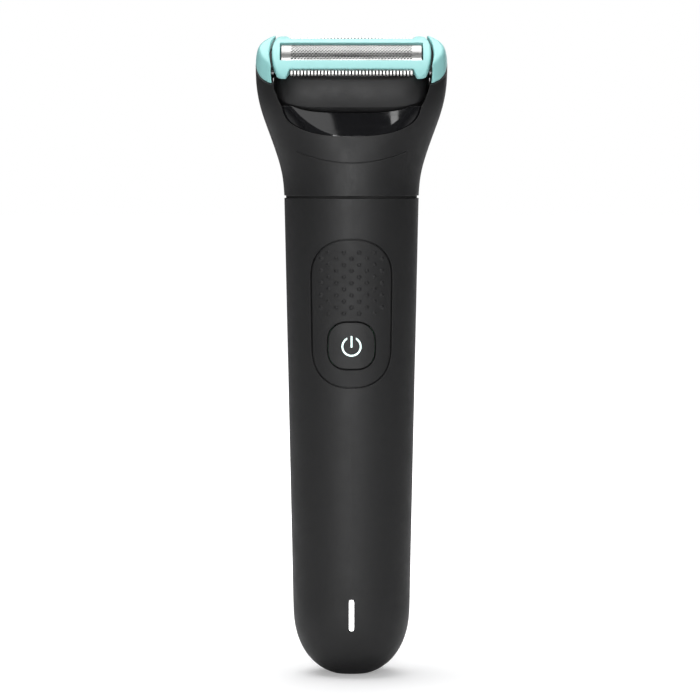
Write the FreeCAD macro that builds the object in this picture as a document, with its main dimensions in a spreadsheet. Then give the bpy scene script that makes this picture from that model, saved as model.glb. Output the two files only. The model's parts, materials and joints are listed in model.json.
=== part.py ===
import FreeCAD, Part
import math
import os
import re

import Sketcher
from FreeCAD import Placement, Rotation, Vector

# Body groomer, upright on its charging end. +Z runs up the handle, the thumb button
# faces -Y, +X is to the right of someone who looks at the button.
# The origin is the centre of the flat base face. All sizes are millimetres.

SIZES = {
    # handle outline: a tapering tube that ends in a rounded dome
    "dome_height": 18.0,
    "dome_power": 2.3,
    "dome_flat": 0.6,
    "lower_half_width": 15.6,
    "upper_half_width": 17.9,
    "handle_top": 127.2,
    "depth_ratio": 0.88,
    "handle_squareness": 0.59,
    "wall": 1.8,
    "shell_gap": 0.2,
    # dark ring between handle and neck
    "seam_gap": 0.7,
    "seam_inset": 0.45,
    # thumb pad inlay and its bumps
    "pad_width": 21.5,
    "pad_length": 39.4,
    "pad_corner": 10.2,
    "pad_centre": 97.0,
    "inlay_depth": 1.1,
    "groove": 0.44,
    "pad_taper": 0.025,
    "bump_radius": 0.58,
    "bump_rise": 0.26,
    "bump_column": 2.0,
    "bump_row": 3.2,
    "bump_low": 97.1,
    # power button
    "button_size": 13.0,
    "button_corner": 5.4,
    "button_centre": 88.6,
    "button_back": -11.7,
    "button_tab_reach": 7.6,
    "seal_size": 14.2,
    "seal_bore": 12.5,
    "icon_radius": 2.4,
    "icon_stroke": 0.48,
    "icon_depth": 0.3,
    # charge light
    "light_width": 1.26,
    "light_length": 8.3,
    "light_centre": 17.05,
    "guide_width": 2.4,
    "guide_length": 7.0,
    # circuit board
    "board_front": -9.0,
    "board_thickness": 1.2,
    "board_width": 15.0,
    "board_low": 15.0,
    "board_high": 104.0,
    "screw_column": 5.2,
    "board_screw_low": 23.2,
    "board_screw_high": 80.0,
    "board_screw_radius": 0.8,
    "led_size": 1.6,
    "led_rise": 0.9,
    # battery
    "cell_radius": 7.1,
    "cell_length": 50.0,
    "cell_low": 26.0,
    "cell_centre": 0.8,
    # inner chassis
    "chassis_half_width": 11.6,
    "chassis_inner": 10.4,
    "chassis_half_depth": 6.4,
    "chassis_low": 22.0,
    "chassis_high": 124.0,
    "floor_thickness": 2.4,
    # motor
    "motor_centre": 0.6,
    "motor_radius": 10.2,
    "motor_depth": 15.2,
    "motor_low": 95.6,
    "motor_high": 121.6,
    "end_cap_length": 3.0,
    "shaft_radius": 1.0,
    "shaft_top": 133.4,
    "bushing_radius": 3.0,
    "bushing_length": 2.4,
    "hub_radius": 3.2,
    "hub_low": 130.8,
    "hub_high": 134.0,
    "eccentricity": 0.7,
    "pin_radius": 0.8,
    "pin_length": 2.6,
    # charging socket
    "socket_width": 8.94,
    "socket_height": 3.16,
    "socket_wall": 0.3,
    "socket_low": 0.3,
    "socket_high": 8.0,
    "socket_clearance": 0.15,
    # neck
    "neck_floor": 2.0,
    "neck_wall": 2.0,
    "cavity_top": 142.6,
    "saddle_front": 143.5,
    "saddle_rise": 3.0,
    "saddle_edge_depth": -14.4,
    "ramp_rise": 60.0,
    "ramp_edge_depth": -13.9,
    "cradle_inset": 0.6,
    "cradle_back": 151.5,
    "boot_radius": 4.4,
    "boot_low": 143.4,
    "boot_high": 145.9,
    "arm_round": 11.3,
    "roof_radius": 34.0,
    "roof_crown": 7.1,
    "split_across": 20.4,
    "split_height": 2.66,
    "split_fall": 9.3,
    # head pivot and face
    "pivot_height": 160.3,
    "pivot_depth": -1.0,
    "face_tilt": 38.0,
    "head_radius": 22.2,
    "arm_gap": 0.4,
    "ball_low": 151.5,
    "drum_radius": 10.6,
    "drum_power": 3.0,
    "drum_span": 21.0,
    "drum_half_length": 20.6,
    "drum_top": 4.6,
    "drum_wall": 1.5,
    "belly_back": 0.84,
    "belly_drop": 5.5,
    "belly_radius": 11.5,
    "belly_reach": 13.6,
    "belly_power": 5.0,
    "belly_span": 20.0,
    "belly_half_length": 19.7,
    "belly_top": 158.0,
    "seat_gap": 0.5,
    "pin_diameter": 2.5,
    "pin_inner": 18.2,
    "pin_outer": 24.5,
    # shaving unit, in the head's own frame
    "frame_low": 4.75,
    "frame_edge": 5.7,
    "frame_crown": 7.6,
    "frame_reach": 8.9,
    "frame_end_radius": 24.0,
    "frame_end_reach": 21.05,
    "frame_corner": 1.8,
    "frame_round": 0.55,
    "frame_inner_half": 18.3,
    "recess_root": 6.6,
    "recess_lean": 1.0,
    "window_half_length": 18.75,
    "window_half_width": 3.85,
    "comb_half_length": 16.0,
    "comb_tip": 8.6,
    "comb_root": 5.3,
    "comb_low": 5.6,
    "comb_high": 6.1,
    "comb_tooth": 1.9,
    "blade_half_length": 15.2,
    "blade_root": 5.0,
    "blade_tip": 8.2,
    "blade_low": 5.02,
    "blade_high": 5.45,
    "blade_slot": 0.5,
    "blade_tooth": 1.7,
    "carriage_half_length": 16.4,
    "carriage_half_width": 5.7,
    "carriage_low": 2.4,
    "tooth_pitch": 0.9,
    "tooth_slot": 0.42,
    "foil_radius": 4.6,
    "foil_centre": 3.6,
    "foil_low": 5.15,
    "foil_thickness": 0.1,
    "foil_half_length": 18.5,
    "holder_length": 1.2,
    "cutter_radius": 4.42,
    "cutter_half_length": 15.4,
    "lamella": 0.3,
    # drive
    "drive_travel": 0.7,
    "post_radius": 1.3,
    "stem_top": 145.9,
    "neck_radius": 0.8,
    "ball_radius": 1.2,
    "bridge_low": 134.8,
    "bridge_high": 137.8,
    "bridge_half_length": 7.0,
    "rod_radius": 0.8,
    "rod_half_length": 12.6,
    "rod_height": 136.3,
    "rod_offset": 6.5,
}

doc = FreeCAD.newDocument("body_groomer")
sheet = doc.addObject("Spreadsheet::Sheet", "dims")
for row, (alias, value) in enumerate(SIZES.items(), start=1):
    sheet.set(f"A{row}", alias)
    sheet.set(f"B{row}", str(value))
    sheet.setAlias(f"B{row}", alias)
doc.recompute()

sub_parts = []
X_AXIS = Vector(1, 0, 0)
Y_AXIS = Vector(0, 1, 0)
Z_AXIS = Vector(0, 0, 1)


def size(alias):
    """The number that the sheet holds for a name."""
    return float(sheet.get(alias))


def formula(text):
    """An expression in which each alias points at the sheet."""
    return re.sub(r"[a-z][a-z_]*", lambda word: f"dims.{word[0]}" if word[0] in SIZES else word[0], str(text))


def sub_part(label, solid):
    """Give a finished piece its name and list it for export."""
    solid.Label = label
    sub_parts.append(solid)
    return solid


# ---------------------------------------------------------------- parametric building blocks

def block(name, low, high):
    """Box between two corners whose coordinates are expressions."""
    solid = doc.addObject("Part::Box", name)
    for axis, side, start, end in zip("xyz", ("Length", "Width", "Height"), low, high):
        solid.setExpression(side, formula(f"({end}) - ({start})"))
        solid.setExpression(f"Placement.Base.{axis}", formula(start))
    return solid


def rod(name, radius, start, length, axis=Z_AXIS):
    """Cylinder from a start point along an axis, sized by expressions."""
    solid = doc.addObject("Part::Cylinder", name)
    solid.setExpression("Radius", formula(radius))
    solid.setExpression("Height", formula(length))
    solid.Placement = Placement(Vector(), Rotation(Z_AXIS, axis))
    for coordinate, text in zip("xyz", start):
        solid.setExpression(f"Placement.Base.{coordinate}", formula(text))
    return solid


def fuse(name, *pieces):
    """One object from several."""
    solid = doc.addObject("Part::MultiFuse", name)
    solid.Shapes = list(pieces)
    return solid


def cut(name, base, *tools):
    """Base with every tool taken away."""
    solid = doc.addObject("Part::Cut", name)
    solid.Base = base
    solid.Tool = tools[0] if len(tools) == 1 else fuse(f"{name}_tools", *tools)
    return solid


def common(name, *pieces):
    """What several objects share."""
    solid = doc.addObject("Part::MultiCommon", name)
    solid.Shapes = list(pieces)
    return solid


def group(name, *pieces):
    """Separate solids that share one name."""
    solid = doc.addObject("Part::Compound", name)
    solid.Links = list(pieces)
    return solid


def feature(name, shape, placement=None):
    """Free-form shape whose sizes were read from the sheet."""
    solid = doc.addObject("Part::Feature", name)
    solid.Shape = shape
    if placement:
        solid.Placement = placement
    return solid


def plane_sketch(body, role, name, offset="0"):
    """Sketch on one of a body's own origin planes, moved along its normal."""
    sketch = body.newObject("Sketcher::SketchObject", name)
    plane = next(item for item in body.Origin.OriginFeatures if item.Role == role)
    sketch.AttachmentSupport = (plane, "")
    sketch.MapMode = "FlatFace"
    sketch.setExpression("AttachmentOffset.Base.z", formula(offset))
    return sketch


def hold(sketch, kind, geometry, point, text):
    """Hold a point's coordinate at an expression, measured from the sketch origin."""
    number = sketch.addConstraint(Sketcher.Constraint(kind, -1, 1, geometry, point, 1.0))
    sketch.setExpression(f"Constraints[{number}]", formula(text))


def sketch_rectangle(sketch, left, low, right, high):
    """Rectangle with each side held by an expression."""
    first = sketch.GeometryCount
    corners = [Vector(0, 0), Vector(2, 0), Vector(2, 2), Vector(0, 2)]
    for start, end in zip(corners, corners[1:] + corners[:1]):
        sketch.addGeometry(Part.LineSegment(start, end))
    for side in range(4):
        following = first + (side + 1) % 4
        sketch.addConstraint(Sketcher.Constraint("Coincident", first + side, 2, following, 1))
        direction = "Vertical" if side % 2 else "Horizontal"
        sketch.addConstraint(Sketcher.Constraint(direction, first + side))
    hold(sketch, "DistanceX", first, 1, left)
    hold(sketch, "DistanceY", first, 1, low)
    hold(sketch, "DistanceX", first + 2, 1, right)
    hold(sketch, "DistanceY", first + 2, 1, high)


def sketch_circle(sketch, across, up, radius):
    """Circle with its centre and radius held by expressions."""
    number = sketch.addGeometry(Part.Circle(Vector(0.5, 0.5), Z_AXIS, 1.0))
    hold(sketch, "DistanceX", number, 3, across)
    hold(sketch, "DistanceY", number, 3, up)
    constraint = sketch.addConstraint(Sketcher.Constraint("Radius", number, 1.0))
    sketch.setExpression(f"Constraints[{constraint}]", formula(radius))


def pad(body, name, sketch, length, reverse=False):
    """Material added along the sketch normal."""
    step = body.newObject("PartDesign::Pad", name)
    step.Profile = sketch
    step.setExpression("Length", formula(length))
    step.Reversed = reverse
    return step


def pocket(body, name, sketch, depth, reverse=False):
    """Material taken away against the sketch normal."""
    step = body.newObject("PartDesign::Pocket", name)
    step.Profile = sketch
    step.setExpression("Length", formula(depth))
    step.Reversed = reverse
    return step


# ---------------------------------------------------------------- free-form outlines

def quarter_arcs(half_width, half_depth, squareness):
    """Control points of the four cubic arcs of a rounded section, as (across, up) pairs."""
    reach_x = half_width * squareness
    reach_y = half_depth * squareness
    first = [(half_width, 0), (half_width, reach_y), (reach_x, half_depth), (0, half_depth)]
    second = [(-x, y) for x, y in reversed(first)]
    third = [(-x, -y) for x, y in first]
    fourth = [(x, -y) for x, y in reversed(first)]
    return first, second, third, fourth


def section(height, half_width, half_depth, centre_y, squareness):
    """Closed level wire of four cubic arcs."""
    edges = []
    for arc in quarter_arcs(half_width, half_depth, squareness):
        curve = Part.BezierCurve()
        curve.setPoles([Vector(x, y + centre_y, height) for x, y in arc])
        edges.append(curve.toShape())
    return Part.Wire(edges)


def handle_scale(height, inset):
    """Factor of the dome: 1 above it, falling to the small flat base."""
    top = size("dome_height")
    if height >= top:
        return 1.0
    drop = (top - height) / (top + size("dome_flat") - inset)
    return (1 - drop ** size("dome_power")) ** (1 / size("dome_power"))


def handle_half_sizes(height, inset):
    """Half-width and half-depth of the handle at a height, set in from the outside."""
    rise = (height - size("dome_height")) / (size("handle_top") - size("dome_height"))
    width = size("lower_half_width") + rise * (size("upper_half_width") - size("lower_half_width"))
    factor = handle_scale(height, inset)
    return factor * (width - inset), factor * (width * size("depth_ratio") - inset)


def skin_solid(stations):
    """Solid through level sections: four smooth sides and two flat ends."""
    knots = [0.0]
    for before, after in zip(stations, stations[1:]):
        knots.append(knots[-1] + math.dist(before[:2], after[:2]))
    faces = []
    for quarter in range(4):
        tracks = []
        for index in range(4):
            points = []
            for height, half_width, half_depth, centre_y, squareness in stations:
                x, y = quarter_arcs(half_width, half_depth, squareness)[quarter][index]
                points.append(Vector(x, y + centre_y, height))
            track = Part.BSplineCurve()
            track.interpolate(Points=points, Parameters=knots)
            tracks.append(track)
        surface = Part.BSplineSurface()
        poles = [track.getPoles() for track in tracks]
        along = tracks[0]
        surface.buildFromPolesMultsKnots(
            poles, [4, 4], along.getMultiplicities(), [0, 1], along.getKnots(), False, False, 3, along.Degree
        )
        faces.append(surface.toShape())
    faces += [Part.Face(section(*stations[end])) for end in (0, -1)]
    shell = Part.makeShell(faces)
    shell.sewShape()
    return Part.Solid(shell)


def handle_solid(inset):
    """Handle outline moved inwards by an inset."""
    dome, top = size("dome_height"), size("handle_top")
    steps = 7
    heights = [inset + (dome - inset) * (1 - math.cos(k * math.pi / 2 / steps)) for k in range(steps + 1)]
    heights += [dome + part * (top - dome) for part in (0.06, 0.2, 0.5, 1.0)]
    squareness = size("handle_squareness")
    return skin_solid([(height, *handle_half_sizes(height, inset), 0, squareness) for height in heights])


def front_depth(across, height, inset=0.0):
    """How far the front surface of the handle stands from the middle plane."""
    width, depth = handle_half_sizes(height, inset)
    arc = quarter_arcs(width, depth, size("handle_squareness"))[0]
    low, high = 0.0, 1.0
    for _ in range(30):
        middle = (low + high) / 2
        blend = ((1 - middle) ** 3, 3 * middle * (1 - middle) ** 2, 3 * middle ** 2 * (1 - middle), middle ** 3)
        x, y = (sum(part * point[axis] for part, point in zip(blend, arc)) for axis in (0, 1))
        low, high = (middle, high) if x > abs(across) else (low, middle)
    return y


def rounded_outline(width, height, corner, centre_z, level, taper=0.0):
    """Rounded rectangle in an upright plane, with eased corners and sides that may open upwards."""
    half_x, half_z = width / 2, height / 2
    ease = 0.38 * corner
    turn_x, turn_z = half_x - corner, half_z - corner
    points = [(half_x, turn_z), (half_x, half_z - ease), (half_x - ease, half_z), (turn_x, half_z)]
    corners = [
        points,
        [(-x, z) for x, z in reversed(points)],
        [(-x, -z) for x, z in points],
        [(x, -z) for x, z in reversed(points)],
    ]
    corners = [[Vector(x * (1 + taper * z / half_z), level, centre_z + z) for x, z in arc] for arc in corners]
    edges = []
    for number, poles in enumerate(corners):
        curve = Part.BezierCurve()
        curve.setPoles(poles)
        edges.append(curve.toShape())
        following = corners[(number + 1) % 4][0]
        if poles[-1].distanceToPoint(following) > 0.001:
            edges.append(Part.makeLine(poles[-1], following))
    return Part.Wire(edges)


def rounded_prism(width, height, corner, centre_z, taper=0.0, front=-20.0, back=-5.0):
    """Rounded rectangle carried from front to back."""
    face = Part.Face(rounded_outline(width, height, corner, centre_z, front, taper))
    return face.extrude(Vector(0, back - front, 0))


def box_between(low, high):
    """Plain box between two corners."""
    return Part.makeBox(*(b - a for a, b in zip(low, high)), Vector(*low))


# ---------------------------------------------------------------- handle

WALL = size("wall")
INLAY = size("inlay_depth")
HANDLE_TOP = size("handle_top")
HANDLE = handle_solid(0.0)
HANDLE_INLAY = handle_solid(INLAY)
HANDLE_CAVITY = handle_solid(WALL)
SKIN = HANDLE.cut(HANDLE_INLAY)

PAD_SHAPE = (size("pad_width"), size("pad_length"), size("pad_corner"), size("pad_centre"), size("pad_taper"))
BUTTON_SHAPE = (size("button_size"), size("button_size"), size("button_corner"), size("button_centre"), 0.0)


def shrunk_prism(shape, margin, **ends):
    """Prism of a rounded outline with every side moved in by a margin."""
    width, height, corner, centre, taper = shape
    return rounded_prism(width - 2 * margin, height - 2 * margin, corner - margin, centre, taper, **ends)


def oblong(width, height, low, top):
    """Upright bar with an oblong section around the Z axis."""
    half, end = (width - height) / 2, height / 2
    edges = [
        Part.makeLine(Vector(-half, -end, low), Vector(half, -end, low)),
        Part.Arc(Vector(half, -end, low), Vector(half + end, 0, low), Vector(half, end, low)).toShape(),
        Part.makeLine(Vector(half, end, low), Vector(-half, end, low)),
        Part.Arc(Vector(-half, end, low), Vector(-half - end, 0, low), Vector(-half, -end, low)).toShape(),
    ]
    return Part.Face(Part.Wire(edges)).extrude(Vector(0, 0, top - low))


def light_slot(margin=0.0):
    """Upright oblong of the charge light, carried through the front wall."""
    width, length = size("light_width") - 2 * margin, size("light_length") - 2 * margin
    return rounded_prism(width, length, width / 2 - 0.001, size("light_centre"), back=-6.0)


def make_shells():
    """Front and back shells, parted at the middle plane, with the gasket between them."""
    tube = HANDLE.cut(HANDLE_CAVITY)
    half_gap = size("shell_gap") / 2
    clearance = size("socket_clearance")
    socket = oblong(size("socket_width") + 2 * clearance, size("socket_height") + 2 * clearance, -1, 9)
    front = tube.common(box_between((-20, -20, -1), (20, -half_gap, HANDLE_TOP + 1)))
    front = front.cut(SKIN.common(rounded_prism(*PAD_SHAPE)))
    seal_hole = rounded_prism(size("seal_size"), size("seal_size"), size("button_corner"), size("button_centre"))
    front = front.cut(seal_hole).cut(light_slot()).cut(socket)
    feature("front_shell_body", front)
    sub_part("handle_front_shell", doc.getObject("front_shell_body"))
    back = tube.common(box_between((-20, half_gap, -1), (20, 20, HANDLE_TOP + 1))).cut(socket)
    sub_part("handle_back_shell", feature("back_shell_body", back))
    band = box_between((-20, -half_gap, -1), (20, half_gap, HANDLE_TOP))
    gasket = handle_solid(0.5).cut(handle_solid(1.5)).common(band)
    gasket = gasket.cut(box_between((-7, -1, -1), (7, 1, 6)))
    sub_part("shell_gasket", feature("gasket_body", gasket))


def make_thumb_pad():
    """Soft inlay with staggered round bumps above the button."""
    margin = size("groove")
    inlay = SKIN.common(shrunk_prism(PAD_SHAPE, margin)).cut(rounded_prism(*BUTTON_SHAPE))
    radius, rise = size("bump_radius"), size("bump_rise")
    ball = (radius ** 2 + rise ** 2) / (2 * rise)
    bumps = []
    for column in range(-4, 5):
        even = column % 2 == 0
        across = column * size("bump_column")
        for row in range(5 if even else 6):
            height = size("bump_low") + (row + 0.5 * even) * size("bump_row")
            depth = front_depth(across, height)
            slope = (depth - front_depth(abs(across) + 0.1, height)) / 0.1
            normal = Vector(math.copysign(slope, across), -1, 0).normalize()
            surface = Vector(across, -depth, height)
            dome = Part.makeSphere(ball, surface + normal * (rise - ball))
            plug = Part.makeCylinder(1.2 * radius, rise + 0.45, surface - normal * 0.4, normal)
            bumps.append(dome.common(plug))
    pad_solid = inlay.multiFuse(bumps)
    sub_part("thumb_pad", feature("thumb_pad_body", pad_solid))


def make_button():
    """Power button with two retaining tabs, its icon inlay and the seal around it."""
    margin = size("groove")
    centre = size("button_centre")
    back = size("button_back")
    prism = shrunk_prism(BUTTON_SHAPE, margin, back=back)
    body = HANDLE.common(prism)
    tab_low = back - 0.6
    reach = size("button_tab_reach")
    body = body.fuse(box_between((-4, tab_low, centre - reach), (4, back, centre + reach)))
    ring_centre = Vector(0, -20, centre - 0.2)
    radius, half_stroke = size("icon_radius"), size("icon_stroke") / 2
    ring = Part.makeCylinder(radius + half_stroke, 12, ring_centre, Y_AXIS)
    ring = ring.cut(Part.makeCylinder(radius - half_stroke, 12, ring_centre, Y_AXIS))
    gap = 1.15
    ring = ring.cut(box_between((-gap, -20, centre), (gap, -5, centre + 4)))
    bar = rounded_prism(2 * half_stroke, 3.1, half_stroke - 0.001, centre + 1.05, back=-8)
    layer = HANDLE.cut(handle_solid(size("icon_depth")))
    icon = layer.common(ring.fuse(bar))
    sub_part("power_icon", feature("power_icon_body", icon))
    sub_part("power_button", feature("power_button_body", body.cut(icon)))
    seal_size, bore = size("seal_size"), size("seal_bore")
    corner = size("button_corner")
    tube = rounded_prism(seal_size, seal_size, corner, centre)
    tube = tube.cut(rounded_prism(bore, bore, corner - 0.4, centre))
    seal = HANDLE_INLAY.cut(HANDLE_CAVITY).common(tube)
    sub_part("button_seal", feature("button_seal_body", seal))


def make_charge_light():
    """Lens in the front wall and the light guide behind it."""
    lens = HANDLE.cut(HANDLE_CAVITY).common(light_slot())
    sub_part("charge_light_lens", feature("lens_body", lens))
    half = "guide_length / 2"
    guide = block(
        "guide_block",
        ("-guide_width / 2", "board_front - led_rise - 1.3", f"light_centre + 1.8 - {half}"),
        ("guide_width / 2", "board_front - led_rise", f"light_centre + 1.8 + {half}"),
    )
    sub_part("light_guide", guide)


make_shells()
make_thumb_pad()
make_button()
make_charge_light()


# ---------------------------------------------------------------- inside the handle

def make_seam_ring():
    """Soft dark ring, set back between handle and neck."""
    outer = [(HANDLE_TOP, *handle_half_sizes(HANDLE_TOP, size("seam_inset")), 0, size("handle_squareness"))]
    inner = [(HANDLE_TOP, *handle_half_sizes(HANDLE_TOP, WALL + 1.0), 0, size("handle_squareness"))]
    rise = Vector(0, 0, size("seam_gap"))
    ring = Part.Face(section(*outer[0])).extrude(rise).cut(Part.Face(section(*inner[0])).extrude(rise))
    sub_part("seam_ring", feature("seam_ring_body", ring))


def make_board():
    """Circuit board with its screws, switch, chips and LEDs."""
    board = doc.addObject("PartDesign::Body", "board_body")
    outline = plane_sketch(board, "XZ_Plane", "board_outline", "-board_front")
    sketch_rectangle(outline, "-board_width / 2", "board_low", "board_width / 2", "board_high")
    places = [(sign, height) for sign in ("-", "") for height in ("board_screw_low", "board_screw_high")]
    for sign, height in places:
        sketch_circle(outline, f"{sign}screw_column", height, "board_screw_radius + 0.05")
    pad(board, "board_plate", outline, "board_thickness", reverse=True)
    sub_part("circuit_board", board)

    screws = []
    for number, (sign, height) in enumerate(places):
        centre = f"{sign}screw_column"
        shank = rod(
            f"board_shank_{number}", "board_screw_radius", (centre, "board_front - 0.02", height), "3.6", Y_AXIS
        )
        head = rod(f"board_head_{number}", "1.5", (centre, "board_front - 0.92", height), "0.9", Y_AXIS)
        slot = block(
            f"board_slot_{number}",
            (f"{centre} - 1.1", "board_front - 1", f"{height} - 0.16"),
            (f"{centre} + 1.1", "board_front - 0.5", f"{height} + 0.16"),
        )
        screws.append(cut(f"board_screw_{number}", fuse(f"board_screw_blank_{number}", shank, head), slot))
    sub_part("board_screws", group("board_screw_group", *screws))

    centre = "button_centre"
    can = block(
        "switch_can",
        ("-2.6", "board_front - 1.7", f"{centre} - 2.6"),
        ("2.6", "board_front", f"{centre} + 2.6"),
    )
    plunger = rod("switch_plunger", "1.2", ("0", "board_front - 2.25", centre), "0.6", Y_AXIS)
    sub_part("tact_switch", fuse("switch_body", can, plunger))

    chips = []
    for number, (across, low, wide, tall, rise) in enumerate(CHIPS):
        chips.append(block(
            f"chip_{number}",
            (f"{across} - {wide / 2}", f"board_front - {rise}", f"{low}"),
            (f"{across} + {wide / 2}", "board_front", f"{low + tall}"),
        ))
    sub_part("board_chips", group("chip_group", *chips))

    lamps = []
    for number, height in enumerate(("light_centre", "light_centre + 3.6")):
        lamps.append(block(
            f"led_{number}",
            ("-led_size / 2", "board_front - led_rise", f"{height} - led_size / 4"),
            ("led_size / 2", "board_front", f"{height} + led_size / 4"),
        ))
    sub_part("status_leds", group("led_group", *lamps))


# centre across, low edge, width, height and rise of each chip on the board
CHIPS = (
    (0.0, 40.0, 6.0, 6.0, 1.0),
    (-3.6, 52.0, 3.0, 4.4, 0.9),
    (3.4, 54.0, 3.2, 2.6, 1.4),
    (0.5, 64.0, 4.0, 5.0, 0.9),
    (-4.6, 98.0, 2.0, 3.2, 0.8),
)


def make_battery():
    """Round cell with its raised terminal, and the two metal tabs that reach the board."""
    cell = doc.addObject("PartDesign::Body", "cell_body")
    base = plane_sketch(cell, "XY_Plane", "cell_base", "cell_low")
    sketch_circle(base, "0", "cell_centre", "cell_radius")
    pad(cell, "cell_can", base, "cell_length")
    button = plane_sketch(cell, "XY_Plane", "cell_button", "cell_low + cell_length")
    sketch_circle(button, "0", "cell_centre", "2.6")
    pad(cell, "cell_terminal", button, "0.8")
    sub_part("battery_cell", cell)

    reach = "cell_centre - 8.3"
    tab_high = "cell_low + cell_length + 0.8"
    low_tab = block("low_tab", ("-2", reach, "cell_low - 0.3"), ("2", "cell_centre + 3", "cell_low"))
    high_tab = block("high_tab", ("-2", reach, tab_high), ("2", "cell_centre + 2", f"{tab_high} + 0.3"))
    sub_part("battery_tabs", group("tab_group", low_tab, high_tab))


def make_chassis():
    """Open frame that carries board, cell and motor, with bosses for the screws."""
    chassis = doc.addObject("PartDesign::Body", "chassis_body")
    outline = plane_sketch(chassis, "XZ_Plane", "chassis_outline", "-chassis_half_depth")
    half, inner, floor = "chassis_half_width", "chassis_inner", "floor_thickness"
    sketch_rectangle(outline, f"-{half}", "chassis_low", half, "chassis_high")
    middle = "board_screw_high"
    sketch_rectangle(outline, f"-{inner}", f"chassis_low + {floor}", inner, f"{middle} - {floor} / 2")
    sketch_rectangle(outline, f"-{inner}", f"{middle} + {floor} / 2", inner, f"chassis_high - {floor}")
    pad(chassis, "chassis_frame", outline, "2 * chassis_half_depth")

    for number, height in enumerate(("board_screw_low", "board_screw_high")):
        bosses = plane_sketch(chassis, "XZ_Plane", f"board_bosses_{number}", "chassis_half_depth")
        for sign in ("-", ""):
            sketch_circle(bosses, f"{sign}screw_column", height, "1.15")
        boss_length = "-board_front - board_thickness - chassis_half_depth"
        pad(chassis, f"board_boss_{number}", bosses, boss_length)
        holes = plane_sketch(chassis, "XZ_Plane", f"board_holes_{number}", "-board_front")
        for sign in ("-", ""):
            sketch_circle(holes, f"{sign}screw_column", height, "board_screw_radius + 0.03")
        pocket(chassis, f"board_hole_{number}", holes, "4.2")

    posts = plane_sketch(chassis, "XY_Plane", "neck_posts", f"chassis_high")
    for sign in ("-", ""):
        sketch_circle(posts, f"{sign}9", "motor_centre", "2.4")
    pad(chassis, "neck_post", posts, "handle_top + seam_gap - chassis_high")
    bores = plane_sketch(chassis, "XY_Plane", "top_bores", "handle_top + seam_gap")
    for sign in ("-", ""):
        sketch_circle(bores, f"{sign}9", "motor_centre", "1.12")
    pocket(chassis, "neck_bore", bores, "handle_top + seam_gap - chassis_high + 2.4")
    shaft_bore = plane_sketch(chassis, "XY_Plane", "shaft_bore", "chassis_high")
    sketch_circle(shaft_bore, "0", "motor_centre", "bushing_radius + 0.1")
    pocket(chassis, "shaft_opening", shaft_bore, "3")
    sub_part("inner_chassis", chassis)


def make_motor():
    """Flat-sided motor can with end cap, terminals and front bushing, and its spinning shaft."""
    centre = "motor_centre"
    can_top = "motor_high"
    can_low = "motor_low + end_cap_length"
    slab = block("can_slab", ("-motor_radius", f"{centre} - motor_depth / 2", can_low),
                 ("motor_radius", f"{centre} + motor_depth / 2", can_top))
    barrel = rod("can_barrel", "motor_radius", ("0", centre, can_low), f"{can_top} - ({can_low})")
    bore = rod("can_bore", "shaft_radius + 0.06", ("0", centre, "motor_low"), "40")
    sub_part("motor_can", cut("can_body", common("can_blank", slab, barrel), bore))

    cap_slab = block("cap_slab", ("-motor_radius + 0.3", f"{centre} - motor_depth / 2 + 0.3", "motor_low"),
                     ("motor_radius - 0.3", f"{centre} + motor_depth / 2 - 0.3", can_low))
    cap_barrel = rod("cap_barrel", "motor_radius - 0.3", ("0", centre, "motor_low"), "end_cap_length")
    cap_bore = rod("cap_bore", "shaft_radius + 0.06", ("0", centre, "motor_low + 1"), "5")
    sub_part("motor_end_cap", cut("cap_body", common("cap_blank", cap_slab, cap_barrel), cap_bore))

    blades = [
        block(f"terminal_{side}", (f"{side} - 1", f"{centre} - 0.2", "motor_low - 3"),
              (f"{side} + 1", f"{centre} + 0.2", "motor_low"))
        for side in (-6, 6)
    ]
    sub_part("motor_terminals", group("terminal_group", *blades))

    bush = rod("bush_blank", "bushing_radius", ("0", centre, can_top), "bushing_length")
    bush_bore = rod("bush_bore", "shaft_radius + 0.04", ("0", centre, can_top), "bushing_length")
    sub_part("motor_bushing", cut("bush_body", bush, bush_bore))

    shaft_low = "motor_low + 1.2"
    shaft = rod("shaft_body", "shaft_radius", ("0", centre, shaft_low), f"shaft_top - ({shaft_low})")
    sub_part("motor_shaft", shaft)
    hub = rod("hub_blank", "hub_radius", ("0", centre, "hub_low"), "hub_high - hub_low")
    hub_bore = rod("hub_bore", "shaft_radius", ("0", centre, "hub_low"), "shaft_top - hub_low")
    drive_pin = rod("hub_pin", "pin_radius", ("eccentricity", centre, "hub_high"), "pin_length")
    sub_part("eccentric_hub", fuse("hub_body", cut("hub_turned", hub, hub_bore), drive_pin))


def make_charging_socket():
    """Oblong metal socket in the base, with its contact tongue and rubber seal."""
    width, height, wall = size("socket_width"), size("socket_height"), size("socket_wall")
    low, high = size("socket_low"), size("socket_high")
    shell = oblong(width, height, low, high).cut(oblong(width - 2 * wall, height - 2 * wall, low, high - 0.8))
    sub_part("charging_socket", feature("socket_shell", shell))
    tongue = block("tongue", ("-3.3", "-0.35", "socket_low + 1"), ("3.3", "0.35", "socket_high - 0.8"))
    sub_part("socket_tongue", tongue)
    pads = []
    for number in range(6):
        across = f"{number} - 2.5"
        pads.append(block(f"contact_{number}", (f"({across}) - 0.25", "-0.45", "socket_low + 1.4"),
                          (f"({across}) + 0.25", "-0.35", "socket_high - 1.6")))
    sub_part("socket_contacts", group("contact_group", *pads))
    seal = oblong(width + 2.0, height + 2.0, 2.9, 4.9).cut(oblong(width, height, 2.9, 4.9))
    sub_part("socket_seal", feature("socket_seal_body", seal))


make_seam_ring()
make_board()
make_battery()
make_chassis()
make_motor()
make_charging_socket()


# ---------------------------------------------------------------- neck and arms

PIVOT = Vector(0, size("pivot_depth"), size("pivot_height"))
HEAD_PLACE = Placement(PIVOT, Rotation(X_AXIS, size("face_tilt")))
NECK_LOW = HANDLE_TOP + size("seam_gap")

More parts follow.
